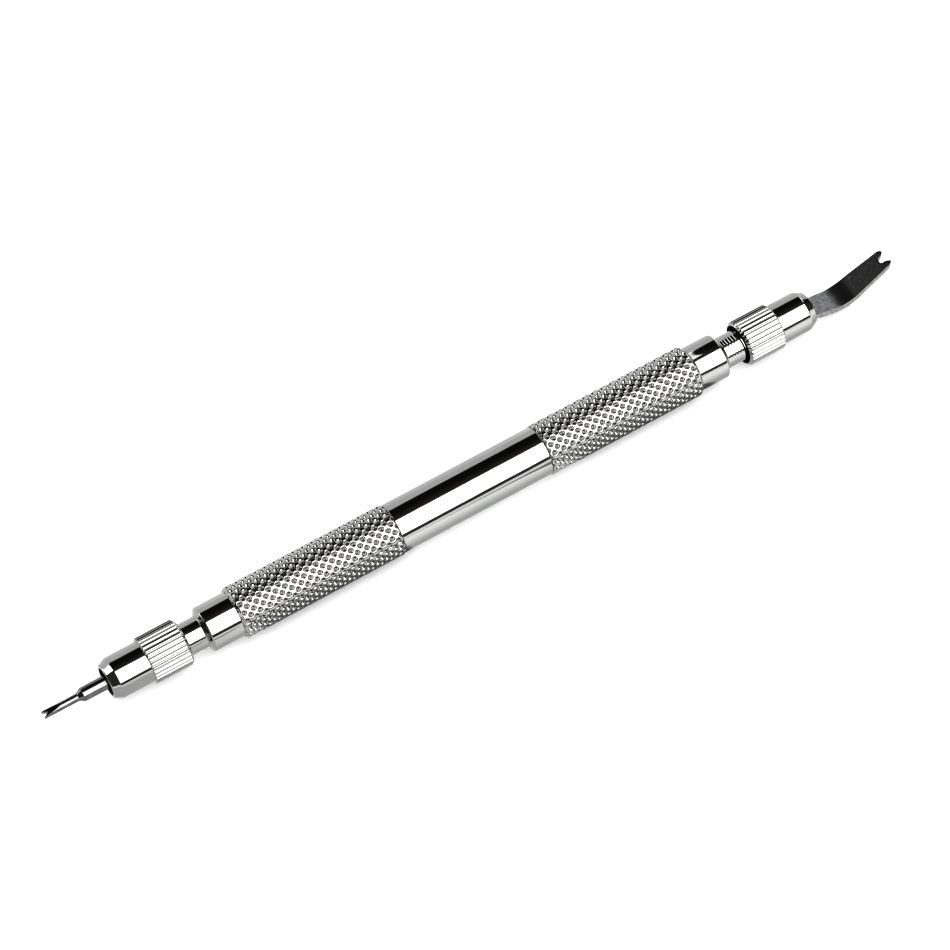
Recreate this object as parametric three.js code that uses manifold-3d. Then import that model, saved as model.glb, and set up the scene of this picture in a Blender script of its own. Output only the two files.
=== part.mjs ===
// Double-ended spring bar tool for watch straps: a knurled handle with a collet chuck on each end.
// One chuck holds a fine forked pin, the other a bent forked blade.
// Millimetres, +Z up, +X towards the blade. The tool lies on its two knurled grips, on the plane z = 0.

import * as THREE from 'three';
import { mergeVertices } from 'three/addons/utils/BufferGeometryUtils.js';
import Module from 'manifold-3d';

const wasm = await Module();
wasm.setup();

// ---- Driving dimensions. A station is a distance along the axis from the middle of the handle. ----

const ROUND_FACETS = 36;
const BARREL = { radius: 3.85, end: 12.6 };
const GRIP = { radius: 4.0, end: 39.0, starts: 18, rows: 34, pitDepth: 0.32, endRadius: 3.62 };
const COLLAR = { radius: 3.5, end: 44.2, coneLength: 0.45, endRadius: 2.6 };
const NECK = { radius: 2.5, end: 53.2, chamfer: 0.4 };
const SOCKET = { radius: 1.75, floor: 41, drillPoint: 1 };

// The nut: a serrated ring to turn it by, then a plain nose.
const RING = { radius: 3.6, start: 47.6, end: 53.85, serrations: 30, groove: 0.22, chamfer: 0.45 };
const NOSE = { radius: 3.18, end: 60.05, chamferLength: 1.3, endRadius: 2.58 };
const MOUTH = { radius: 3.08, depth: 1.8 };
const THREAD_BORE = { radius: 2.62, end: 55.85 };
const NOSE_BORE = { radius: 2.1, start: 58.35 };

// The split collet inside each nut.
const COLLET = { stemRadius: 1.6, start: 43, headStart: 54.45, headRadius: 2.45, headConeStart: 55.95 };
const COLLET_FRONT = { station: 59.45, radius: 1.85 };
const COLLET_BORE = 1.15;
const COLLET_SLOT = { width: 0.4, start: 46.4 };

// The nut at the pin's end is screwed on further by this much, and its collet sits further in with it.
const PIN_NUT_FURTHER_ON = 0.5;

// The round shank that both tips share, and the fine forked pin.
const SHANK = { radius: 1.06, start: 44 };
const PIN = { shoulder: 63.35, coneEnd: 64.05, radius: 0.6, end: 69.6, forkRadius: 0.64 };
const PIN_FLAT = { length: 2.7, tipHalfThickness: 0.26 };
const PIN_NOTCH = { depth: 0.85, halfWidth: 0.56 };

// The bent blade. Its slopes are measured from the axis, and it bends up round one arc.
const BLADE = { start: 59.8, thickness: 1.2, rootHeight: -0.722, tip: 74.15 };
const BLADE_SLOPE = { root: THREE.MathUtils.degToRad(-14.5), tip: THREE.MathUtils.degToRad(30) };
const BLADE_BEND = { station: 65.967, radius: 6, steps: 10 };
const BLADE_WIDTH = { root: 3.2, bend: 3.68, widest: 3.72, widestStation: 68, tip: 3.0, points: 2.2 };
const FORK = { depth: 1.3, mouth: 1.3, floor: 0.8, pointLength: 0.45 };

// ---- Materials ----

function metal(colour, roughness) {
  return new THREE.MeshStandardMaterial({ color: colour, roughness, metalness: 1 });
}

const platedMetal = () => metal(0xd4d6d8, 0.12);
const colletSteel = () => metal(0x9a9c9e, 0.35);
const tipSteel = () => metal(0x77797c, 0.3);

// ---- Solids ----

// A closed surface as a solid. Slivers that meet the axis of a turned surface are dropped.
function solid(geometry) {
  const plain = geometry.clone();
  plain.deleteAttribute('normal');
  plain.deleteAttribute('uv');
  const merged = mergeVertices(plain, 1e-5);
  const corners = [];
  for (let i = 0; i < merged.index.count; i += 3) {
    const [a, b, c] = [merged.index.getX(i), merged.index.getX(i + 1), merged.index.getX(i + 2)];
    if (a !== b && b !== c && c !== a) corners.push(a, b, c);
  }
  return new wasm.Manifold(new wasm.Mesh({
    numProp: 3,
    vertProperties: new Float32Array(merged.attributes.position.array),
    triVerts: new Uint32Array(corners),
  }));
}

function subPart(name, body, material) {
  const mesh = body.getMesh();
  const geometry = new THREE.BufferGeometry();
  geometry.setAttribute('position', new THREE.BufferAttribute(mesh.vertProperties, 3));
  geometry.setIndex(new THREE.BufferAttribute(mesh.triVerts, 1));
  geometry.computeVertexNormals();
  const part = new THREE.Mesh(geometry, material);
  part.name = name;
  return part;
}

// Turns a profile of [station, radius] points round the X axis.
function turned(profile) {
  const points = profile.map(([station, radius]) => new THREE.Vector2(radius, station));
  const geometry = new THREE.LatheGeometry(points, ROUND_FACETS);
  geometry.rotateZ(-Math.PI / 2);
  return solid(geometry);
}

// Extrudes an outline of [x, y] points through z = -depth / 2 to depth / 2.
function prism(outline, depth) {
  const shape = new THREE.Shape(outline.map(([x, y]) => new THREE.Vector2(x, y)));
  const geometry = new THREE.ExtrudeGeometry(shape, { depth, bevelEnabled: false });
  geometry.translate(0, 0, -depth / 2);
  return geometry;
}

// ---- Handle: one turned bar with two knurled grips and a threaded, drilled neck at each end ----

function handleHalfProfile() {
  return [
    [BARREL.end, BARREL.radius],
    [BARREL.end, COLLAR.radius],
    [COLLAR.end - COLLAR.coneLength, COLLAR.radius],
    [COLLAR.end, COLLAR.endRadius],
    [COLLAR.end, NECK.radius],
    [NECK.end - NECK.chamfer, NECK.radius],
    [NECK.end, NECK.radius - NECK.chamfer],
    [NECK.end, SOCKET.radius],
    [SOCKET.floor, SOCKET.radius],
    [SOCKET.floor - SOCKET.drillPoint, 0],
  ];
}

// Net knurling: rows of pits, each row half a pit further round than the last, with raised ridges that
// cross between them. In every second row the crossings lie on the flats between the others.
function knurledGrip() {
  const around = GRIP.starts * 2;
  const overlap = 0.1;
  const start = BARREL.end - overlap;
  const rowStep = (GRIP.end - start) / GRIP.rows;
  const cornerRadius = GRIP.radius / Math.cos(Math.PI / GRIP.starts);
  const positions = [];
  for (let row = 0; row <= GRIP.rows; row += 1) {
    const ridgeRadius = row % 2 ? cornerRadius : GRIP.radius;
    const atEnd = row === 0 || row === GRIP.rows;
    for (let i = 0; i < around; i += 1) {
      const isPit = (row + i) % 2 === 0;
      const radius = atEnd ? GRIP.endRadius : ridgeRadius - (isPit ? GRIP.pitDepth : 0);
      const angle = (i / around) * 2 * Math.PI;
      positions.push(start + row * rowStep, radius * Math.cos(angle), radius * Math.sin(angle));
    }
  }
  const startCentre = positions.length / 3;
  positions.push(start, 0, 0, GRIP.end, 0, 0);
  const endCentre = startCentre + 1;
  const index = [];
  for (let i = 0; i < around; i += 1) {
    const next = (i + 1) % around;
    for (let row = 0; row < GRIP.rows; row += 1) {
      const [a, b] = [row * around + i, row * around + next];
      const [c, d] = [a + around, b + around];
      const pitAtA = (row + i) % 2 === 0;
      if (pitAtA) index.push(a, b, c, b, d, c);
      else index.push(a, b, d, a, d, c);
    }
    const lastRow = GRIP.rows * around;
    index.push(startCentre, next, i, endCentre, lastRow + i, lastRow + next);
  }
  const geometry = new THREE.BufferGeometry();
  geometry.setAttribute('position', new THREE.Float32BufferAttribute(positions, 3));
  geometry.setIndex(index);
  return solid(geometry);
}

function handle() {
  const half = handleHalfProfile();
  const otherHalf = half.map(([station, radius]) => [-station, radius]).reverse();
  const grip = knurledGrip();
  return turned([...otherHalf, ...half]).add(grip).add(grip.mirror([1, 0, 0]));
}

// ---- Chuck nut: serrated ring, plain nose, threaded bore that narrows to the nose's opening ----

function serratedRing() {
  const outline = [];
  const points = RING.serrations * 2;
  for (let i = 0; i < points; i += 1) {
    const radius = RING.radius - (i % 2 ? RING.groove : 0);
    const angle = (i / points) * 2 * Math.PI;
    outline.push([radius * Math.cos(angle), radius * Math.sin(angle)]);
  }
  const length = RING.end - RING.start;
  const geometry = prism(outline, length);
  geometry.rotateY(Math.PI / 2);
  geometry.translate((RING.start + RING.end) / 2, 0, 0);
  const clear = 0.02;
  const chamfered = turned([
    [RING.start, 0],
    [RING.start, RING.radius - RING.chamfer],
    [RING.start + RING.chamfer, RING.radius + clear],
    [RING.end - RING.chamfer, RING.radius + clear],
    [RING.end, RING.radius - RING.chamfer],
    [RING.end, 0],
  ]);
  return solid(geometry).intersect(chamfered);
}

function chuckNut() {
  const lap = 1;
  const nose = turned([
    [RING.end - lap, 0],
    [RING.end - lap, NOSE.radius],
    [NOSE.end - NOSE.chamferLength, NOSE.radius],
    [NOSE.end, NOSE.endRadius],
    [NOSE.end, 0],
  ]);
  const past = 1;
  const bore = turned([
    [RING.start - past, 0],
    [RING.start - past, MOUTH.radius],
    [RING.start + MOUTH.depth, MOUTH.radius],
    [RING.start + MOUTH.depth, THREAD_BORE.radius],
    [THREAD_BORE.end, THREAD_BORE.radius],
    [NOSE_BORE.start, NOSE_BORE.radius],
    [NOSE.end + past, NOSE_BORE.radius],
    [NOSE.end + past, 0],
  ]);
  return serratedRing().add(nose).subtract(bore);
}

// ---- Split collet: a bored stem with a coned head, cut into four jaws from the front ----

function splitCollet() {
  const body = turned([
    [COLLET.start, COLLET_BORE],
    [COLLET.start, COLLET.stemRadius],
    [COLLET.headStart, COLLET.stemRadius],
    [COLLET.headStart, COLLET.headRadius],
    [COLLET.headConeStart, COLLET.headRadius],
    [COLLET_FRONT.station, COLLET_FRONT.radius],
    [COLLET_FRONT.station, COLLET_BORE],
    [COLLET.start, COLLET_BORE],
  ]);
  const past = 1;
  const slotLength = COLLET_FRONT.station - COLLET_SLOT.start + past;
  const across = 2 * (COLLET.headRadius + past);
  const slot = new THREE.BoxGeometry(slotLength, across, COLLET_SLOT.width);
  slot.rotateX(Math.PI / 4);
  slot.translate(COLLET_SLOT.start + slotLength / 2, 0, 0);
  const otherSlot = slot.clone().rotateX(Math.PI / 2);
  return body.subtract(solid(slot)).subtract(solid(otherSlot));
}

// ---- Fine forked pin: round, ground to two flats at its end, with a V notch between two points ----

function forkPin() {
  const round = turned([
    [SHANK.start, 0],
    [SHANK.start, SHANK.radius],
    [PIN.shoulder, SHANK.radius],
    [PIN.coneEnd, PIN.radius],
    [PIN.end - PIN_FLAT.length, PIN.radius],
    [PIN.end, PIN.forkRadius],
    [PIN.end, 0],
  ]);
  const past = 0.5;
  const slope = (PIN.radius - PIN_FLAT.tipHalfThickness) / PIN_FLAT.length;
  const flatStart = PIN.end - PIN_FLAT.length;
  const ground = [
    [flatStart - past, PIN.radius + slope * past],
    [PIN.end + past, PIN_FLAT.tipHalfThickness - slope * past],
    [PIN.end + past, PIN.radius * 2],
    [flatStart - past, PIN.radius * 2],
  ];
  const upperFlat = prism(ground, 4 * PIN.radius);
  upperFlat.rotateX(Math.PI / 2);
  const mouth = PIN_NOTCH.halfWidth * (1 + past / PIN_NOTCH.depth);
  const notch = prism([
    [PIN.end - PIN_NOTCH.depth, 0],
    [PIN.end + past, -mouth],
    [PIN.end + past, mouth],
  ], 4 * PIN.radius);
  const upper = solid(upperFlat);
  return round.subtract(upper).subtract(upper.mirror([0, 0, 1])).subtract(solid(notch));
}

// ---- Bent forked blade ----

// The middle of the blade's thickness: [station, height, slope] from root to tip.
function bladeLine() {
  const { root, tip } = BLADE_SLOPE;
  const bend = BLADE_BEND;
  const cornerHeight = BLADE.rootHeight + (bend.station - NOSE.end) * Math.tan(root);
  const reach = bend.radius * Math.tan((tip - root) / 2);
  const arcStart = [bend.station - reach * Math.cos(root), cornerHeight - reach * Math.sin(root)];
  const centre = [
    arcStart[0] - bend.radius * Math.sin(root),
    arcStart[1] + bend.radius * Math.cos(root),
  ];
  const line = [[BLADE.start, BLADE.rootHeight + (BLADE.start - NOSE.end) * Math.tan(root), root]];
  for (let i = 0; i <= bend.steps; i += 1) {
    const slope = root + ((tip - root) * i) / bend.steps;
    const station = centre[0] + bend.radius * Math.sin(slope);
    line.push([station, centre[1] - bend.radius * Math.cos(slope), slope]);
  }
  const past = 1;
  const [lastStation, lastHeight] = line.at(-1);
  const run = BLADE.tip + past - lastStation;
  line.push([BLADE.tip + past, lastHeight + run * Math.tan(tip), tip]);
  return line;
}

function bentStrip() {
  const half = BLADE.thickness / 2;
  const side = (sign) => ([station, height, slope]) => [
    station - sign * half * Math.sin(slope),
    height + sign * half * Math.cos(slope),
  ];
  const line = bladeLine();
  const outline = [...line.map(side(-1)), ...line.map(side(1)).reverse()];
  const geometry = prism(outline, BLADE_WIDTH.widest + 1);
  geometry.rotateX(Math.PI / 2);
  return solid(geometry);
}

// The blade seen from above: widening to its bend, tapering to the fork, with a notch and two points.
function bladeOutline() {
  const edge = [
    [BLADE.start, BLADE_WIDTH.root / 2],
    [BLADE_BEND.station, BLADE_WIDTH.bend / 2],
    [BLADE_WIDTH.widestStation, BLADE_WIDTH.widest / 2],
    [BLADE.tip - FORK.pointLength, BLADE_WIDTH.tip / 2],
    [BLADE.tip, BLADE_WIDTH.points / 2],
    [BLADE.tip - FORK.pointLength, FORK.mouth / 2],
    [BLADE.tip - FORK.depth, FORK.floor / 2],
  ];
  const otherEdge = edge.map(([x, y]) => [x, -y]).reverse();
  const deep = 20;
  return prism([...otherEdge, ...edge], deep);
}

function forkBlade() {
  const lap = 0.15;
  const shank = turned([
    [SHANK.start, 0],
    [SHANK.start, SHANK.radius],
    [BLADE.start + lap, SHANK.radius],
    [BLADE.start + lap, 0],
  ]);
  return bentStrip().intersect(solid(bladeOutline())).add(shank);
}

// ---- Assembly ----

// Everything at one end of the handle. The nut and its collet sit further in by the given amount.
function chuckEnd(end, furtherOn, tipName, tip) {
  const nut = subPart(`${end}_end_nut`, chuckNut(), platedMetal());
  const collet = subPart(`${end}_end_collet`, splitCollet(), colletSteel());
  nut.position.x = -furtherOn;
  collet.position.x = -furtherOn;
  const group = new THREE.Group();
  group.add(nut, collet, subPart(tipName, tip, tipSteel()));
  return group;
}

const tool = new THREE.Group();
tool.add(subPart('handle', handle(), platedMetal()));
tool.add(chuckEnd('blade', 0, 'fork_blade', forkBlade()));

// The pin's end is laid out as the blade's end is, then turned half round.
const pinEnd = chuckEnd('pin', PIN_NUT_FURTHER_ON, 'fork_pin', forkPin());
pinEnd.rotation.z = Math.PI;
tool.add(pinEnd);

// The middle of the overall length is over the origin, and the grips rest on z = 0.
tool.position.x = (PIN.end - BLADE.tip) / 2;
tool.position.z = GRIP.radius;

export default tool;
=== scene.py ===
"""The looks of a double-ended spring bar tool: plated handle and nuts, split collets and two steel tips.

The script works in millimetres measured from the middle of the handle: a station is a place along the tool's
axis, counted outward from that middle, and a radius is a distance from the axis. place() turns both into the
frame's metres.
"""

import math

import bmesh
import bpy
import numpy as np
from mathutils import Matrix, Vector


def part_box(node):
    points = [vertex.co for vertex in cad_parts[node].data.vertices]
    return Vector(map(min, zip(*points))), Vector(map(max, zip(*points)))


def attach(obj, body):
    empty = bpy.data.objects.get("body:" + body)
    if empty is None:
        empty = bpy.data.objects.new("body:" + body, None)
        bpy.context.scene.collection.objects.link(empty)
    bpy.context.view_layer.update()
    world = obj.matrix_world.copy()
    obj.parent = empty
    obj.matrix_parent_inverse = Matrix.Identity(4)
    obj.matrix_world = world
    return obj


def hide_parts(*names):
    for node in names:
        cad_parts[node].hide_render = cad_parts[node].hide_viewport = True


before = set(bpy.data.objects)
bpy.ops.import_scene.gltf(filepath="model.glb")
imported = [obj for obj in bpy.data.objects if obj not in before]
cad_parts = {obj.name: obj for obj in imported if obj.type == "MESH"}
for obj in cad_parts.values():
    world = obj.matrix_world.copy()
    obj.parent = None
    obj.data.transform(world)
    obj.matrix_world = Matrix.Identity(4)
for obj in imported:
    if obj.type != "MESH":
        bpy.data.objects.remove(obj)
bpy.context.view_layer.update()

MM = 0.001

# ---- Places from the frame ----

handle_low, handle_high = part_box("handle")
AXIS_Z = (handle_low.z + handle_high.z) / 2
MIDDLE_X = (handle_low.x + handle_high.x) / 2
GRIP_RADIUS = (handle_high.z - handle_low.z) / 2 / MM
NECK_END = (handle_high.x - handle_low.x) / 2 / MM


def station_range(node):
    """The stations where a node starts and ends, counted outward."""
    low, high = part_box(node)
    ends = sorted(abs(x - MIDDLE_X) / MM for x in (low.x, high.x))
    return ends[0], ends[1]


# by end: 1 is the blade's end and -1 the pin's, where the nut is screwed on further
NUT_SPAN = {1: station_range("blade_end_nut"), -1: station_range("pin_end_nut")}
COLLET_SPAN = {1: station_range("blade_end_collet"), -1: station_range("pin_end_collet")}
SHANK_START, BLADE_END = station_range("fork_blade")
PIN_END = station_range("fork_pin")[1]

# ---- Sizes, in millimetres ----

BARREL_RADIUS, BARREL_END = 3.85, 12.6
GRIP_END, GRIP_INNER_CHAMFER, GRIP_OUTER_CHAMFER, GRIP_OVERLAP = 39.0, 0.12, 0.45, 0.1
KNURL_STARTS, KNURL_ROWS = 18, 17
PIT_DEPTH, PIT_RADIUS, PIT_WALL, KNURL_TURN = 0.45, 0.47, 0.4, 0.225
COLLAR_RADIUS, COLLAR_END = 3.5, 44.2
COLLAR_CONE, COLLAR_END_RADIUS = 0.45, 2.6
NECK_RADIUS, NECK_CHAMFER = 2.5, 0.4
SOCKET_RADIUS, SOCKET_FLOOR = 1.75, 41.0
THREAD_PITCH, THREAD_DEPTH = 0.5, 0.032
THREAD_RELIEF, THREAD_RUN_IN, THREAD_RUN_OUT = 0.2, 0.4, 0.2

# measured along the nut from the end that faces the handle
RING_RADIUS, RING_LENGTH, RING_CHAMFER, RING_NOSE_CHAMFER = 3.6, 6.25, 0.42, 0.2
SERRATIONS, SERRATION_DEPTH, SERRATION_CREST, SERRATION_CURVE = 30, 0.24, 0.35, 1.3
MOUTH_RADIUS, MOUTH_DEPTH = 3.08, 1.8
THREAD_BORE, THREAD_BORE_LENGTH = 2.62, 8.2
NOSE_RADIUS, NOSE_END_RADIUS, NOSE_CHAMFER = 3.18, 2.58, 1.3
NOSE_BORE, NOSE_BORE_LENGTH = 2.1, 1.7

# measured back along the collet from its front
STEM_RADIUS, HEAD_LENGTH, HEAD_RADIUS, HEAD_CONE = 1.6, 5.0, 2.45, 3.5
FRONT_RADIUS, COLLET_BORE = 1.85, 1.15
SLOT_WIDTH, SLOT_LENGTH = 0.4, 13.0
SHANK_RADIUS, SHANK_CHAMFER = 1.06, 0.15

PIN_SHOULDER, PIN_CONE_END, PIN_RADIUS, PIN_CHAMFER = 63.35, 64.05, 0.6, 0.06
PIN_FLAT_LENGTH, PIN_FLAT_TIP = 2.7, 0.26
PIN_NOTCH_DEPTH, PIN_NOTCH_HALF_WIDTH, PIN_NOTCH_FLOOR_HALF = 0.85, 0.5, 0.05

BLADE_START, BLADE_THICKNESS, BLADE_EDGE = 59.8, 1.2, 0.15
# the stations between which the blade's faces are painted darker, as painted shade
BLADE_DARKENS = (63.6, 66.6)
BLADE_ROOT_HEIGHT, BLADE_ROOT_SLOPE, BLADE_TIP_SLOPE = -0.722, -14.5, 30
BEND_STATION, BEND_RADIUS = 65.967, 6.0
# half-widths at the blade's root, beside its bend, where it is widest, and behind its fork
ROOT_HALF, BEND_HALF, WIDEST_HALF, TIP_HALF = 1.6, 1.84, 1.86, 1.5
BEND_AT, WIDEST_AT = 66.0, 68.0
FORK_DEPTH, FAR_POINT_SHORTER = 1.3, 0.2

# columns of faces round the smooth turned pieces
BAR_COLUMNS, TIP_COLUMNS, SHANK_COLUMNS = 144, 96, 64


def place(station, side, height, end=1):
    """A point in the frame. end is 1 at the blade's end and -1 at the pin's, which is turned half round."""
    return (MIDDLE_X + end * station * MM, end * side * MM, AXIS_Z + height * MM)


# ---- Mesh helpers ----


def new_piece(name, vertices, faces, material):
    mesh = bpy.data.meshes.new(name)
    mesh.from_pydata([tuple(v) for v in vertices], [], [tuple(f) for f in faces])
    mesh.update()
    mesh.polygons.foreach_set("use_smooth", [True] * len(mesh.polygons))
    obj = bpy.data.objects.new(name, mesh)
    bpy.context.scene.collection.objects.link(obj)
    mesh.materials.append(material)
    return obj


def rounded_profile(points, steps=5, guard=0.03):
    """A [station, radius] outline with its corners rounded. A point is (station, radius, fillet).

    Each rounded corner has a point close to both of its ends, so that smooth shading stays flat beyond it.
    """
    out = [points[0][:2]]
    for before, here, after in zip(points, points[1:], points[2:]):
        p = Vector(here[:2])
        fillet = here[2] if len(here) > 2 else 0
        to_before = Vector(before[:2]) - p
        to_after = Vector(after[:2]) - p
        if not fillet:
            out.append(tuple(p))
            continue
        turn = math.pi - to_before.angle(to_after)
        reach = fillet * math.tan(turn / 2)
        start = p + to_before.normalized() * reach
        stop = p + to_after.normalized() * reach
        out.append(tuple(start + to_before.normalized() * guard))
        bisector = (to_before.normalized() + to_after.normalized()).normalized()
        centre = p + bisector * (fillet / math.cos(turn / 2))
        first, last = start - centre, stop - centre
        for i in range(steps + 1):
            share = i / steps
            arm = (first * math.sin((1 - share) * turn) + last * math.sin(share * turn)) / math.sin(turn)
            out.append(tuple(centre + arm))
        out.append(tuple(stop + to_after.normalized() * guard))
    out.append(points[-1][:2])
    return out


def turned(name, stations, radii, columns, material, end=1, loop=False):
    """A closed surface of revolution. radii is one row of values per station, or one value.

    With loop the last row joins the first; otherwise both end rows close on a point on the axis.
    """
    stations = np.asarray(stations, float)
    radii = np.asarray(radii, float)
    if radii.ndim == 1:
        radii = np.repeat(radii[:, None], columns, axis=1)
    rows = len(stations)
    angles = np.arange(columns) * 2 * math.pi / columns
    x = np.repeat(stations[:, None], columns, axis=1)
    points = np.stack([x, radii * np.cos(angles), radii * np.sin(angles)], axis=2).reshape(-1, 3)
    faces = []
    last = rows if loop else rows - 1
    column = np.arange(columns)
    following = (column + 1) % columns
    for row in range(last):
        here, there = row * columns, ((row + 1) % rows) * columns
        quad = np.stack([here + column, there + column, there + following, here + following], axis=1)
        faces.extend(quad.tolist())
    extra = []
    if not loop:
        extra = [(stations[0], 0, 0), (stations[-1], 0, 0)]
        first, final = rows * columns, rows * columns + 1
        top = (rows - 1) * columns
        faces.extend([first, int(i), int(j)] for i, j in zip(column, following))
        faces.extend([final, top + int(j), top + int(i)] for i, j in zip(column, following))
    points = np.vstack([points, extra]) if extra else points
    vertices = [place(*p, end=end) for p in points]
    obj = new_piece(name, vertices, faces, material)
    face_outward(obj)
    return obj


def face_outward(obj):
    """Turns a closed surface right side out."""
    bm = bmesh.new()
    bm.from_mesh(obj.data)
    if bm.calc_volume(signed=True) < 0:
        bmesh.ops.reverse_faces(bm, faces=bm.faces)
    bm.to_mesh(obj.data)
    bm.free()


def prism(name, outline, low, high, material, end=1):
    """A [station, side] outline, solid between two heights."""
    count = len(outline)
    points = [(x, y, low) for x, y in outline] + [(x, y, high) for x, y in outline]
    faces = [list(range(count)), list(range(count, 2 * count))]
    for i in range(count):
        j = (i + 1) % count
        faces.append([i, j, count + j, count + i])
    obj = new_piece(name, [place(*p, end=end) for p in points], faces, material)
    bm = bmesh.new()
    bm.from_mesh(obj.data)
    bmesh.ops.recalc_face_normals(bm, faces=bm.faces)
    bm.to_mesh(obj.data)
    bm.free()
    return obj


def cut_away(obj, cutters):
    for cutter in cutters:
        boolean = obj.modifiers.new("cut", "BOOLEAN")
        boolean.operation = "DIFFERENCE"
        boolean.solver = "EXACT"
        boolean.object = cutter
    bake_modifiers(obj)
    for cutter in cutters:
        bpy.data.objects.remove(cutter)


def bake_modifiers(obj):
    evaluated = obj.evaluated_get(bpy.context.evaluated_depsgraph_get())
    baked = bpy.data.meshes.new_from_object(evaluated)
    obj.modifiers.clear()
    obj.data = baked


def crisp(obj, degrees=35):
    """Keeps edges sharper than the angle, and lets the large faces decide the shading of the small ones."""
    obj.data.set_sharp_from_angle(angle=math.radians(degrees))
    weighted = obj.modifiers.new("shading", "WEIGHTED_NORMAL")
    weighted.keep_sharp = True
    bake_modifiers(obj)


# ---- Materials ----


def shader(name):
    material = bpy.data.materials.new(name)
    material.use_nodes = True
    nodes = material.node_tree.nodes
    nodes.clear()
    out = nodes.new("ShaderNodeOutputMaterial")
    bsdf = nodes.new("ShaderNodeBsdfPrincipled")
    material.node_tree.links.new(bsdf.outputs["BSDF"], out.inputs["Surface"])
    return material, nodes, material.node_tree.links, bsdf


class Nodes:
    """Short names for the nodes that the materials use."""

    def __init__(self, nodes, links, coordinates="Object"):
        self.nodes, self.links = nodes, links
        self.position = nodes.new("ShaderNodeTexCoord").outputs[coordinates]

    def add(self, kind, values):
        node = self.nodes.new(kind)
        for name, value in values.items():
            socket = node.inputs[name]
            if isinstance(value, bpy.types.NodeSocket):
                self.links.new(value, socket)
            else:
                socket.default_value = value
        return node.outputs[0]

    def noise(self, size_mm, detail=2.0, roughness=0.5, stretch=(1, 1, 1)):
        """A cloud with features of about the given size, stretched along the axes."""
        scale = tuple(1 / (size_mm * MM * s) for s in stretch)
        mapped = self.add("ShaderNodeMapping", {"Vector": self.position, "Scale": scale})
        values = {"Vector": mapped, "Scale": 1.0, "Detail": detail, "Roughness": roughness}
        return self.add("ShaderNodeTexNoise", values)

    def spread(self, value, from_low, from_high, low, high):
        """The value, moved from one range to another and held at its ends."""
        span = {"From Min": from_low, "From Max": from_high, "To Min": low, "To Max": high}
        return self.add("ShaderNodeMapRange", {"Value": value, **span})

    def math(self, operation, *values):
        node = self.nodes.new("ShaderNodeMath")
        node.operation = operation
        for socket, value in zip(node.inputs, values):
            if isinstance(value, bpy.types.NodeSocket):
                self.links.new(value, socket)
            else:
                socket.default_value = value
        return node.outputs[0]

    def ramp(self, value, stops):
        """A colour for each place along 0 to 1."""
        node = self.nodes.new("ShaderNodeValToRGB")
        elements = node.color_ramp.elements
        while len(elements) < len(stops):
            elements.new(0.5)
        for element, (place_on_ramp, colour) in zip(elements, stops):
            element.position = place_on_ramp
            element.color = (*colour, 1)
        self.links.new(value, node.inputs["Fac"])
        return node.outputs["Color"]

    def mix(self, share, first, second):
        node = self.nodes.new("ShaderNodeMix")
        node.data_type = "RGBA"
        colours = [socket for socket in node.inputs if socket.type == "RGBA"]
        self.links.new(share, node.inputs["Factor"])
        self.links.new(first, colours[0])
        colours[1].default_value = (*second, 1)
        return next(socket for socket in node.outputs if socket.type == "RGBA")

    def along(self, axis):
        node = self.nodes.new("ShaderNodeSeparateXYZ")
        self.links.new(self.position, node.inputs[0])
        return node.outputs[axis]

    def attribute(self, name):
        node = self.nodes.new("ShaderNodeAttribute")
        node.attribute_name = name
        return node.outputs["Fac"]

    def bump(self, height, depth_mm, under=None):
        values = {"Height": height, "Strength": 1.0, "Distance": depth_mm * MM}
        if under is not None:
            values["Normal"] = under
        return self.add("ShaderNodeBump", values)


def metal(name):
    material, nodes, links, bsdf = shader(name)
    bsdf.inputs["Metallic"].default_value = 1.0
    return material, Nodes(nodes, links), links, bsdf


def plated_metal():
    """Bright nickel: mirror-like, faintly uneven, and painted darker in the pits of the knurl as painted
    shade.
    """
    material, kit, links, bsdf = metal("nickel_plate")
    clouds = kit.noise(5.0, detail=3.0)
    bright = kit.ramp(clouds, [(0.3, (0.585, 0.59, 0.585)), (0.7, (0.62, 0.62, 0.61))])
    # painted shade: the base colour darkens towards the bottoms of the knurl's pits
    pit_shade = kit.spread(kit.attribute("pit"), 0.3, 0.9, 0.0, 1.0)
    links.new(kit.mix(pit_shade, bright, (0.38, 0.375, 0.365)), bsdf.inputs["Base Color"])
    haze = kit.noise(1.2, detail=4.0, roughness=0.6)
    links.new(kit.spread(haze, 0.35, 0.7, 0.05, 0.11), bsdf.inputs["Roughness"])
    waves = kit.bump(kit.noise(2.4, stretch=(2.5, 1, 1)), 0.012)
    links.new(kit.bump(kit.noise(0.35), 0.0009, waves), bsdf.inputs["Normal"])
    return material


def bore_metal():
    """The insides of the nuts and of the handle: bare steel painted near-black as painted shade inside the
    bores, and cut with fine tool rings.
    """
    material, kit, links, bsdf = metal("bore_steel")
    # painted shade: a near-black base colour stands in for the shade inside the bores
    bore_shade = kit.ramp(kit.noise(1.0, detail=3.0), [(0.3, (0.05, 0.052, 0.06)), (0.7, (0.11, 0.105, 0.1))])
    links.new(bore_shade, bsdf.inputs["Base Color"])
    bsdf.inputs["Roughness"].default_value = 0.45
    rings = kit.noise(0.25, stretch=(1, 40, 40))
    links.new(kit.bump(rings, 0.02), bsdf.inputs["Normal"])
    return material


def turned_steel(name, dark, light, roughness):
    """Bare steel off the lathe: fine rings round the axis, and a slightly cloudy colour."""
    material, kit, links, bsdf = metal(name)
    links.new(kit.ramp(kit.noise(1.5, detail=3.0), [(0.3, dark), (0.7, light)]), bsdf.inputs["Base Color"])
    rings = kit.noise(0.12, detail=1.0, stretch=(1, 60, 60))
    links.new(kit.spread(rings, 0.3, 0.7, roughness * 0.8, roughness * 1.3), bsdf.inputs["Roughness"])
    links.new(kit.bump(rings, 0.004), bsdf.inputs["Normal"])
    return material


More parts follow.
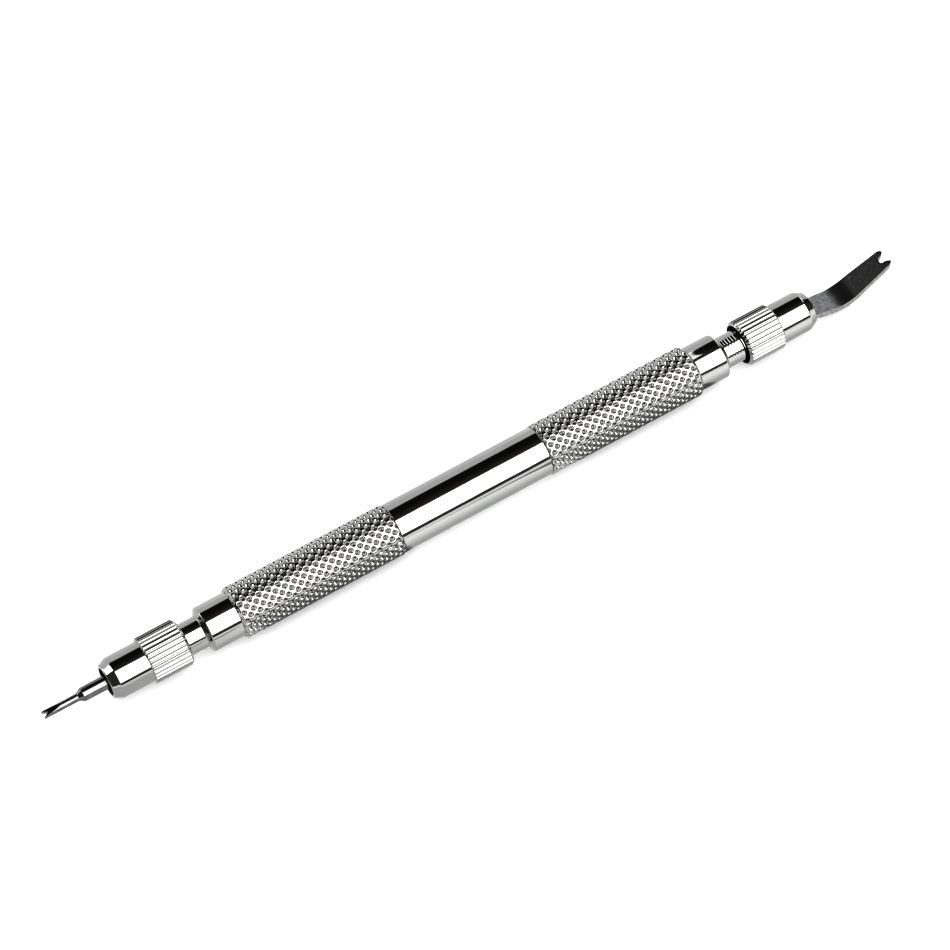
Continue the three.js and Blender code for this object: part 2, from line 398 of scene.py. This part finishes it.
def blade_face_steel():
    """The hardened blade's rolled faces: dark, satin, with scratches along it and small bright specks, and
    painted darker towards the tip as painted shade.
    """
    material, kit, links, bsdf = metal("blade_steel")
    mottle = kit.noise(0.5, detail=4.0, roughness=0.65)
    tones = [(0.3, (0.26, 0.265, 0.28)), (0.6, (0.36, 0.365, 0.37)), (0.72, (0.6, 0.6, 0.6))]
    start, stop = (MIDDLE_X + station * MM for station in BLADE_DARKENS)
    # painted shade: the faces grow up to a third darker towards the tip, between the stations of
    # BLADE_DARKENS
    painted_shade = kit.spread(kit.along("X"), start, stop, 0.0, 0.35)
    links.new(kit.mix(painted_shade, kit.ramp(mottle, tones), (0.01, 0.01, 0.01)), bsdf.inputs["Base Color"])
    links.new(kit.spread(mottle, 0.3, 0.7, 0.4, 0.3), bsdf.inputs["Roughness"])
    scratches = kit.bump(kit.noise(0.09, stretch=(14, 1, 1)), 0.003)
    links.new(kit.bump(mottle, 0.006, scratches), bsdf.inputs["Normal"])
    return material


def blade_edge_steel():
    """The blade's sheared edges: bright, rough and torn across the thickness."""
    material, kit, links, bsdf = metal("blade_edge_steel")
    torn = kit.noise(0.3, detail=4.0, roughness=0.7, stretch=(1, 1, 3))
    tones = [(0.3, (0.45, 0.44, 0.42)), (0.7, (0.85, 0.84, 0.82))]
    links.new(kit.ramp(torn, tones), bsdf.inputs["Base Color"])
    bsdf.inputs["Roughness"].default_value = 0.48
    links.new(kit.bump(torn, 0.05), bsdf.inputs["Normal"])
    return material


PLATE = plated_metal()
BORE_STEEL = bore_metal()
COLLET_STEEL = turned_steel("collet_steel", (0.36, 0.36, 0.37), (0.5, 0.5, 0.5), 0.3)
TIP_STEEL = turned_steel("tip_steel", (0.34, 0.34, 0.35), (0.46, 0.455, 0.45), 0.18)
BLADE_STEEL = blade_face_steel()
BLADE_EDGE_STEEL = blade_edge_steel()


def shade_inside(obj):
    """Gives the faces that look at the tool's axis the bore's material, painted near-black as painted shade.
    """
    obj.data.materials.append(BORE_STEEL)
    for polygon in obj.data.polygons:
        outward = Vector((0, polygon.center.y, polygon.center.z - AXIS_Z)).normalized()
        if polygon.normal.dot(outward) < -0.5:
            polygon.material_index = 1


# ---- Handle ----


def threaded(stations, radii, columns, start, stop):
    """The rows of a profile with a shallow thread cut between two stations, growing in and fading out."""
    angles = np.arange(columns) * 2 * math.pi / columns
    phase = (stations[:, None] / THREAD_PITCH - angles[None, :] / (2 * math.pi)) % 1
    ridge = (1 - np.cos(phase * 2 * math.pi)) / 2
    grown = np.clip((stations - start - THREAD_RELIEF) / THREAD_RUN_IN, 0, 1)
    fade = grown * np.clip((stop - stations) / THREAD_RUN_OUT, 0, 1)
    return radii[:, None] - THREAD_DEPTH * ridge * fade[:, None]


def handle_bar():
    """The bar inside the grips, from socket to socket: barrel, collars and threaded necks."""
    neck_start, neck_stop = COLLAR_END + 0.25, NECK_END - NECK_CHAMFER - 0.05
    step = BARREL_END - 0.02
    outline = rounded_profile([
        (BARREL_END - 1, BARREL_RADIUS),
        (step, BARREL_RADIUS, 0.12),
        (step, COLLAR_RADIUS),
        (COLLAR_END - COLLAR_CONE, COLLAR_RADIUS, 0.3),
        (COLLAR_END, COLLAR_END_RADIUS, 0.06),
        (COLLAR_END, NECK_RADIUS),
        (neck_start, NECK_RADIUS),
    ])
    rows = int((neck_stop - neck_start) / (THREAD_PITCH / 8))
    neck = [(s, NECK_RADIUS) for s in np.linspace(neck_start, neck_stop, rows)]
    inside = rounded_profile([
        (neck_stop, NECK_RADIUS),
        (NECK_END - NECK_CHAMFER, NECK_RADIUS, 0.1),
        (NECK_END, NECK_RADIUS - NECK_CHAMFER, 0.08),
        (NECK_END, SOCKET_RADIUS, 0.08),
        (SOCKET_FLOOR, SOCKET_RADIUS),
    ])
    half = [*outline, *neck[1:], *inside[1:]]
    profile = [(-s, r) for s, r in reversed(half)] + half
    stations = np.array([p[0] for p in profile])
    radii = np.array([p[1] for p in profile])
    cut = threaded(np.abs(stations), radii, BAR_COLUMNS, neck_start, neck_stop)
    # both threads are right-handed, so the pin end's is the blade end's turned half round
    half_round = (BAR_COLUMNS // 2 - np.arange(BAR_COLUMNS)) % BAR_COLUMNS
    cut = np.where((stations < 0)[:, None], cut[:, half_round], cut)
    shaped = np.where((radii == NECK_RADIUS)[:, None], cut, radii[:, None])
    obj = turned("handle_bar", stations, shaped, BAR_COLUMNS, PLATE)
    shade_inside(obj)
    return obj


def knurled_grip(name, end):
    """A sleeve of net knurling: rows of round pits, each row half a pit further round than the last."""
    per_pit = 16
    columns = KNURL_STARTS * per_pit
    pitch = (GRIP_END - BARREL_END) / KNURL_ROWS
    around = 2 * math.pi * GRIP_RADIUS / KNURL_STARTS
    stations = BARREL_END + np.arange(KNURL_ROWS * per_pit + 1) * pitch / per_pit
    along = ((stations - BARREL_END) / pitch)[:, None]
    angles = (np.arange(columns) / per_pit + KNURL_TURN)[None, :]

    def from_centre(shift_along, shift_round):
        """Distance to the nearest pit of one of the two sets of rows."""
        a = ((along + shift_along) % 1 - 0.5) * pitch
        b = ((angles + shift_round) % 1 - 0.5) * around
        return np.hypot(a, b)

    distance = np.minimum(from_centre(0, 0.5), from_centre(0.5, 0))
    pit = (1 - np.cos(np.clip((PIT_RADIUS - distance) / PIT_WALL, 0, 1) * math.pi)) / 2
    inner_edge = GRIP_RADIUS - GRIP_INNER_CHAMFER + stations - BARREL_END
    outer_edge = GRIP_RADIUS - GRIP_OUTER_CHAMFER + GRIP_END - stations
    outer = np.minimum(GRIP_RADIUS - PIT_DEPTH * pit, np.minimum(inner_edge, outer_edge)[:, None])
    stations = np.concatenate([stations, [GRIP_END, BARREL_END]])
    radii = np.vstack([outer, np.full((2, columns), COLLAR_RADIUS - GRIP_OVERLAP)])
    obj = turned(name, stations, radii, columns, PLATE, end=end, loop=True)
    # the depth of each pit, which the plate's material turns into painted shade
    shade = obj.data.attributes.new("pit", "FLOAT", "POINT")
    shade.data.foreach_set("value", np.vstack([pit, np.zeros((2, columns))]).ravel())
    return obj


# ---- Nuts ----


def chuck_nut(name, end):
    """A serrated ring and a plain nose, with a wide mouth towards the handle and a bore through."""
    per_serration = 12
    columns = SERRATIONS * per_serration
    start, stop = NUT_SPAN[end]
    ring_end = start + RING_LENGTH
    outside = [
        (start, MOUTH_RADIUS, 0.03),
        (start, RING_RADIUS - RING_CHAMFER, 0.03),
        (start + RING_CHAMFER, RING_RADIUS, 0.1),
        (ring_end - RING_NOSE_CHAMFER, RING_RADIUS, 0.06),
        (ring_end, RING_RADIUS - RING_NOSE_CHAMFER, 0.04),
        (ring_end, NOSE_RADIUS, 0.03),
        (stop - NOSE_CHAMFER, NOSE_RADIUS, 0.5),
        (stop, NOSE_END_RADIUS, 0.25),
    ]
    inside = [
        (stop, NOSE_BORE, 0.1),
        (stop - NOSE_BORE_LENGTH, NOSE_BORE, 0.05),
        (start + THREAD_BORE_LENGTH, THREAD_BORE, 0.05),
        (start + MOUTH_DEPTH, THREAD_BORE),
        (start + MOUTH_DEPTH, MOUTH_RADIUS),
    ]
    outline = rounded_profile([(start + MOUTH_DEPTH, MOUTH_RADIUS), *outside, *inside])[:-1]
    stations = np.array([p[0] for p in outline])
    radii = np.array([p[1] for p in outline])
    phase = (np.arange(columns) / per_serration - 0.5) % 1
    off_crest = np.clip((np.abs(phase * 2 - 1) - SERRATION_CREST) / (1 - SERRATION_CREST), 0, 1)
    limit = RING_RADIUS - SERRATION_DEPTH * off_crest[None, :] ** SERRATION_CURVE
    on_ring = (stations <= ring_end) & (radii > NOSE_RADIUS)
    shaped = np.where(on_ring[:, None], np.minimum(radii[:, None], limit), radii[:, None])
    obj = turned(name, stations, shaped, columns, PLATE, end=end, loop=True)
    shade_inside(obj)
    return obj


# ---- Collets and tips ----


def split_collet(name, end):
    """A stem and a conical head, bored through and slotted crosswise from the front."""
    start, stop = COLLET_SPAN[end]
    head, cone, slots = stop - HEAD_LENGTH, stop - HEAD_CONE, stop - SLOT_LENGTH
    outline = rounded_profile([
        (start + 1, STEM_RADIUS),
        (head - 0.3, STEM_RADIUS, 0.3),
        (head, HEAD_RADIUS, 0.1),
        (cone, HEAD_RADIUS, 0.3),
        (stop, FRONT_RADIUS, 0.08),
        (stop, COLLET_BORE, 0.1),
        (start, COLLET_BORE, 0.1),
        (start, STEM_RADIUS, 0.1),
        (start + 1, STEM_RADIUS),
    ])
    stations, radii = zip(*outline[:-1])
    obj = turned(name, stations, radii, TIP_COLUMNS, COLLET_STEEL, end=end, loop=True)
    half, past = SLOT_WIDTH / 2, 1
    long_side = [(slots, -half), (stop + past, -half), (stop + past, half), (slots, half)]
    reach = HEAD_RADIUS + past
    wide_side = [(x, math.copysign(reach, y)) for x, y in long_side]
    cut_away(obj, [
        prism("slot_upright", long_side, -reach, reach, COLLET_STEEL, end),
        prism("slot_level", wide_side, -half, half, COLLET_STEEL, end),
    ])
    crisp(obj)
    return obj


SHANK_TAIL = [(SHANK_START, SHANK_RADIUS - SHANK_CHAMFER), (SHANK_START + SHANK_CHAMFER, SHANK_RADIUS, 0.1)]


def fork_pin():
    """A round shank and a fine pin, ground flat above and below and notched at its end."""
    flat_start = PIN_END - PIN_FLAT_LENGTH
    outline = rounded_profile([
        *SHANK_TAIL,
        (PIN_SHOULDER, SHANK_RADIUS, 0.14),
        (PIN_CONE_END, PIN_RADIUS, 0.3),
        (flat_start, PIN_RADIUS),
    ])
    tip_rows = 26
    tip = [(x, PIN_RADIUS) for x in np.linspace(flat_start + 0.1, PIN_END - PIN_CHAMFER, tip_rows)]
    outline += tip + [(PIN_END, PIN_RADIUS - PIN_CHAMFER)]
    stations, radii = zip(*outline)
    obj = turned("fork_pin_steel", stations, radii, TIP_COLUMNS, TIP_STEEL, end=-1)
    for vertex in obj.data.vertices:
        station = (MIDDLE_X - vertex.co.x) / MM
        share = (station - flat_start) / PIN_FLAT_LENGTH
        if share > 0:
            limit = (PIN_RADIUS + (PIN_FLAT_TIP - PIN_RADIUS) * share) * MM
            height = vertex.co.z - AXIS_Z
            vertex.co.z = AXIS_Z + max(-limit, min(limit, height))
    past = 0.2
    mouth_half = PIN_NOTCH_HALF_WIDTH * (1 + past / PIN_NOTCH_DEPTH)
    notch = [
        (PIN_END - PIN_NOTCH_DEPTH, -PIN_NOTCH_FLOOR_HALF),
        (PIN_END + past, -mouth_half),
        (PIN_END + past, mouth_half),
        (PIN_END - PIN_NOTCH_DEPTH, PIN_NOTCH_FLOOR_HALF),
    ]
    cut_away(obj, [prism("notch", notch, -2, 2, TIP_STEEL, end=-1)])
    crisp(obj)
    return obj


def blade_curve():
    """The middle of the blade's thickness, as (station, height, slope): down, round one bend, then up."""
    bend_steps = 30
    root, tip = math.radians(BLADE_ROOT_SLOPE), math.radians(BLADE_TIP_SLOPE)
    nut_end = NUT_SPAN[1][1]
    corner_height = BLADE_ROOT_HEIGHT + (BEND_STATION - nut_end) * math.tan(root)
    reach = BEND_RADIUS * math.tan((tip - root) / 2)
    start = (BEND_STATION - reach * math.cos(root), corner_height - reach * math.sin(root))
    centre = (start[0] - BEND_RADIUS * math.sin(root), start[1] + BEND_RADIUS * math.cos(root))
    curve = [(BLADE_START, BLADE_ROOT_HEIGHT + (BLADE_START - nut_end) * math.tan(root), root)]
    for slope in np.linspace(root, tip, bend_steps + 1):
        station = centre[0] + BEND_RADIUS * math.sin(slope)
        curve.append((station, centre[1] - BEND_RADIUS * math.cos(slope), slope))
    station, height, _ = curve[-1]
    run = BLADE_END + 1 - station
    curve.append((station + run, height + run * math.tan(tip), tip))
    return curve


def blade_side(sign):
    """The stations and the heights of the blade's upper face (1) or its underside (-1)."""
    out = sign * BLADE_THICKNESS / 2
    return tuple(zip(*[(x - out * math.sin(a), h + out * math.cos(a)) for x, h, a in blade_curve()]))


def blade_outline():
    """The blade seen from above, with a rounded notch between two points."""
    near_tip = BLADE_END - 0.45
    far_end = BLADE_END - FAR_POINT_SHORTER
    side_fillet = 8.0
    outline = [
        (BLADE_START, -ROOT_HALF),
        (BEND_AT, -BEND_HALF, side_fillet),
        (WIDEST_AT, -WIDEST_HALF, side_fillet),
        (near_tip, -TIP_HALF, 0.5),
        (BLADE_END - 0.1, -1.34, 0.15),
        (BLADE_END, -1.1, 0.15),
        (BLADE_END - 0.5, -0.62, 0.3),
        (BLADE_END - FORK_DEPTH, -0.45, 0.35),
        (BLADE_END - FORK_DEPTH, 0.45, 0.35),
        (far_end - 0.3, 0.62, 0.2),
        (far_end, 0.86, 0.2),
        (far_end - 0.15, 1.25, 0.2),
        (far_end - 0.5, TIP_HALF, 0.5),
        (WIDEST_AT, WIDEST_HALF, side_fillet),
        (BEND_AT, BEND_HALF, side_fillet),
        (BLADE_START, ROOT_HALF),
    ]
    return rounded_profile(outline, steps=6, guard=0.02)


def fork_blade():
    """The blade's outline, sliced across, bevelled along its rim and laid along the curve."""
    obj = prism("fork_blade_steel", blade_outline(), -0.5, 0.5, BLADE_STEEL)
    bm = bmesh.new()
    bm.from_mesh(obj.data)
    slice_length = 0.3
    for station in np.arange(BLADE_START + 2 * slice_length, BLADE_END - 0.05, slice_length):
        everything = [*bm.verts, *bm.edges, *bm.faces]
        bmesh.ops.bisect_plane(bm, geom=everything, plane_co=place(station, 0, 0), plane_no=(1, 0, 0))
    rim = [e for e in bm.edges if len(e.link_faces) == 2 and e.calc_face_angle() > math.radians(60)]
    rim = [e for e in rim if abs(e.link_faces[0].normal.z - e.link_faces[1].normal.z) > 0.5]
    bmesh.ops.bevel(
        bm, geom=rim, offset=BLADE_EDGE * MM, segments=2, profile=0.6, affect="EDGES", clamp_overlap=True
    )
    obj.data.materials.append(BLADE_EDGE_STEEL)
    bm.normal_update()
    for face in bm.faces:
        face.material_index = 1 if abs(face.normal.z) < 0.97 else 0
    underside, upper_side = blade_side(-1), blade_side(1)
    for vertex in bm.verts:
        station = (vertex.co.x - MIDDLE_X) / MM
        share = (vertex.co.z - AXIS_Z) / MM + 0.5
        low = np.interp(station, *underside)
        high = np.interp(station, *upper_side)
        vertex.co.z = AXIS_Z + (low + (high - low) * share) * MM
    bm.to_mesh(obj.data)
    bm.free()
    crisp(obj, 50)
    return obj


def blade_shank():
    """The blade's round shank, which ends just inside the flat blade."""
    stations, radii = zip(*rounded_profile([*SHANK_TAIL, (BLADE_START + 0.15, SHANK_RADIUS)]))
    return turned("fork_blade_shank", stations, radii, SHANK_COLUMNS, TIP_STEEL)


# ---- Making and riding ----

bar = handle_bar()
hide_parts("handle")
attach(bar, "handle")
for end_name, end in (("pin", -1), ("blade", 1)):
    grip = knurled_grip(f"grip_{end_name}_end", end)
    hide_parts("handle")
    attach(grip, "handle")
    nut = chuck_nut(f"nut_{end_name}_end", end)
    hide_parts(f"{end_name}_end_nut")
    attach(nut, f"{end_name}_nut")
    collet = split_collet(f"collet_{end_name}_end", end)
    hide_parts(f"{end_name}_end_collet")
    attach(collet, f"{end_name}_collet")
pin = fork_pin()
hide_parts("fork_pin")
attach(pin, "pin_tip")
for part in (fork_blade(), blade_shank()):
    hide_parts("fork_blade")
    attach(part, "blade_tip")

# ---- Stage: floor, soft light and camera ----

# The lights are flat soft boxes. Angles are in degrees round the tool's axis: 0 is level on the far side, 90
# overhead and 180 level on the near side. Distances and places along X are in metres.
NEAR_LIGHT = {"angles": (90, 157.5), "distance": 0.75, "x": (-0.33, 0.67), "radiance": 2.6}
LEFT_LIGHT = {"angles": (14, 76), "distance": 0.8, "x": (-0.8, -0.53), "radiance": 2.5}
RIGHT_LIGHT = {"angles": (30, 75), "distance": 0.8, "x": (0.47, 1.3), "radiance": 1.6}
# lights the floor but isn't seen in the metal
FLOOR_LIGHT = {"angles": (20, 85), "distance": 0.8, "x": (-0.5, 0.5), "radiance": 2.6, "in_metal": False}
# The surroundings: angles above the far side's horizon in degrees, and how bright each part is. The ceiling
# is darkest up to an angle on the far side, and lightest overhead and on the near side.
WALL_TOP, WALL_RADIANCE = 32.5, 0.98
CEILING_DARK_TO, CEILING_DARKEST, CEILING_LIGHTEST = 60, 0.05, 0.2
HORIZON_TOP, HORIZON_RADIANCE = 8.5, 1.33
WALL_TINT, CEILING_TINT = (0.98, 0.995, 1.0), (1.0, 0.93, 0.86)
# how bright the floor looks in the metal, by distance in millimetres to the near (-) or far (+) side
FLOOR_IN_METAL = [(-30, 1.44), (-16, 1.35), (-10, 1.17), (-7, 1.0), (-5, 0.86), (5, 1.04)]
# half the width, in millimetres, of the strip under the tool where the near side gives way to the far side
SIDE_BLEND = 2
# at the left end the near side is no brighter than the limit, which fades out between two places along X
LEFT_END_LIMIT, LEFT_END_FADE = 0.92, (-52, -34)
# beside the grips: the middle of both, how far from it each grip's image is centred, its half-length, the
# length over which it fades, and the share by which the floor changes on the near and the far side
GRIP_IMAGE = {"middle": 1.15, "grip": 26.65, "half": 12.4, "fade": 1.0, "near": -0.6, "far": 0.12}
FLOOR_COLOUR, FLOOR_GLOW, FLOOR_REACH = (0.87, 0.875, 0.88), 0.2, 4.0
# angles in degrees and distances in millimetres; it aims at a station on the axis, then a little to its side
CAMERA = {"azimuth": -31.6, "elevation": 60, "distance": 495, "lens": 128.8, "aim": 2.2, "aside": 1.3}


def stage_plane(name, corners, material):
    obj = new_piece(name, corners, [range(len(corners))], material)
    return obj


def floor_material():
    material, _, _, bsdf = shader("floor")
    bsdf.inputs["Base Color"].default_value = (*FLOOR_COLOUR, 1)
    bsdf.inputs["Roughness"].default_value = 0.9
    bsdf.inputs["Emission Color"].default_value = (0.975, 0.985, 1.0, 1)
    bsdf.inputs["Emission Strength"].default_value = FLOOR_GLOW
    return material


def softbox(name, angles, distance, x, radiance, in_metal=True):
    """A flat rectangular light between two angles round the tool and two places along X."""
    low, high = (math.radians(a) for a in angles)
    middle, half = (low + high) / 2, (high - low) / 2
    light = bpy.data.lights.new(name, "AREA")
    light.shape = "RECTANGLE"
    light.size, light.size_y = x[1] - x[0], 2 * distance * math.tan(half)
    light.energy = radiance * math.pi * light.size * light.size_y
    lamp = bpy.data.objects.new(name, light)
    bpy.context.scene.collection.objects.link(lamp)
    lamp.visible_glossy = in_metal
    back = Vector((0, math.cos(middle), math.sin(middle)))
    side = Vector((1, 0, 0))
    turn = Matrix((side, back.cross(side), back)).transposed()
    centre = back * distance + side * (x[0] + x[1]) / 2
    lamp.matrix_world = Matrix.Translation(centre) @ turn.to_4x4()


def floor_in_metal_material():
    """A glow for the floor's mirror image: dimmer close to the tool, beside the grips and at the left."""
    material = bpy.data.materials.new("floor_in_metal")
    material.use_nodes = True
    nodes, links = material.node_tree.nodes, material.node_tree.links
    nodes.clear()
    out = nodes.new("ShaderNodeOutputMaterial")
    glow = nodes.new("ShaderNodeEmission")
    kit = Nodes(nodes, links)
    x, y = kit.along("X"), kit.along("Y")
    (first, _), (last, _) = FLOOR_IN_METAL[0], FLOOR_IN_METAL[-1]
    brightest = max(value for _, value in FLOOR_IN_METAL)
    across = kit.spread(y, first * MM, last * MM, 0, 1)
    stops = [((at - first) / (last - first), (value / brightest,) * 3) for at, value in FLOOR_IN_METAL]
    level = kit.math("MULTIPLY", kit.ramp(across, stops), brightest)
    fade_start, fade_stop = (at * MM for at in LEFT_END_FADE)
    limit = kit.spread(x, fade_start, fade_stop, LEFT_END_LIMIT, brightest)
    on_far_side = kit.spread(y, -SIDE_BLEND * MM, SIDE_BLEND * MM, 0, brightest)
    strength = kit.math("MINIMUM", level, kit.math("MAXIMUM", limit, on_far_side))
    from_middle = kit.math("ABSOLUTE", kit.math("SUBTRACT", x, GRIP_IMAGE["middle"] * MM))
    from_grip = kit.math("ABSOLUTE", kit.math("SUBTRACT", from_middle, GRIP_IMAGE["grip"] * MM))
    half, fade = GRIP_IMAGE["half"], GRIP_IMAGE["fade"]
    beside_grip = kit.spread(from_grip, (half - fade / 2) * MM, (half + fade / 2) * MM, 1, 0)
    change = kit.spread(y, -SIDE_BLEND * MM, SIDE_BLEND * MM, GRIP_IMAGE["near"], GRIP_IMAGE["far"])
    factor = kit.math("ADD", kit.math("MULTIPLY", beside_grip, change), 1)
    strength = kit.math("MULTIPLY", strength, factor)
    links.new(strength, glow.inputs["Strength"])
    links.new(glow.outputs[0], out.inputs["Surface"])
    return material


def make_stage():
    reach = FLOOR_REACH
    corners = [(-reach, -reach, 0), (reach, -reach, 0), (reach, reach, 0), (-reach, reach, 0)]
    floor = stage_plane("floor", corners, floor_material())
    floor.visible_glossy = False
    image = stage_plane("floor_in_metal", corners, floor_in_metal_material())
    image.visible_camera = False
    image.visible_diffuse = False
    image.visible_shadow = False
    softbox("near_light", **NEAR_LIGHT)
    softbox("left_light", **LEFT_LIGHT)
    softbox("right_light", **RIGHT_LIGHT)
    softbox("floor_light", **FLOOR_LIGHT)


def make_world():
    """A pale horizon and far wall under a dark, warm ceiling that is a little lighter overhead."""
    world = bpy.data.worlds.new("studio")
    bpy.context.scene.world = world
    world.use_nodes = True
    nodes, links = world.node_tree.nodes, world.node_tree.links
    nodes.clear()
    out = nodes.new("ShaderNodeOutputWorld")
    background = nodes.new("ShaderNodeBackground")
    kit = Nodes(nodes, links, "Generated")
    y, z = kit.along("Y"), kit.along("Z")
    above_wall = kit.math("SUBTRACT", z, kit.math("MULTIPLY", y, math.tan(math.radians(WALL_TOP))))
    in_wall = kit.spread(above_wall, -0.02, 0.02, 1, 0)
    horizon_top = math.sin(math.radians(HORIZON_TOP))
    in_horizon = kit.spread(z, horizon_top - 0.01, horizon_top + 0.01, 1, 0)
    pale = kit.math("MAXIMUM", in_wall, in_horizon)
    pale_strength = kit.spread(y, -0.2, 0.2, HORIZON_RADIANCE, WALL_RADIANCE)
    lean = 1 / math.tan(math.radians(CEILING_DARK_TO))
    ceiling = kit.spread(kit.math("DIVIDE", y, z), 0, lean, CEILING_LIGHTEST, CEILING_DARKEST)
    strength = kit.spread(pale, 0, 1, ceiling, pale_strength)
    tint = kit.ramp(pale, [(0, CEILING_TINT), (1, WALL_TINT)])
    links.new(strength, background.inputs["Strength"])
    links.new(tint, background.inputs["Color"])
    links.new(background.outputs[0], out.inputs["Surface"])


def make_camera():
    """The view down on the tool from the near side, with the pin's end closest."""
    azimuth, elevation = math.radians(CAMERA["azimuth"]), math.radians(CAMERA["elevation"])
    back = Vector((
        math.sin(azimuth) * math.cos(elevation),
        -math.cos(azimuth) * math.cos(elevation),
        math.sin(elevation),
    ))
    right = Vector((math.cos(azimuth), math.sin(azimuth), 0))
    up = back.cross(right)
    # square to the tool as the camera sees it
    across = Vector((-up.x, right.x)).normalized()
    aside = (right * across.x + up * across.y) * CAMERA["aside"] * MM
    looked_at = Vector(place(CAMERA["aim"], 0, 0)) + aside
    camera = bpy.data.objects.new("camera", bpy.data.cameras.new("camera"))
    bpy.context.scene.collection.objects.link(camera)
    camera.data.lens = CAMERA["lens"]
    camera.data.sensor_width = 36
    camera.location = looked_at + back * CAMERA["distance"] * MM
    camera.rotation_mode = "QUATERNION"
    camera.rotation_quaternion = back.to_track_quat("Z", "Y")
    bpy.context.scene.camera = camera


make_stage()
make_world()
make_camera()
bpy.context.scene.view_settings.view_transform = "Standard"
bpy.context.scene.view_settings.gamma = 0.5
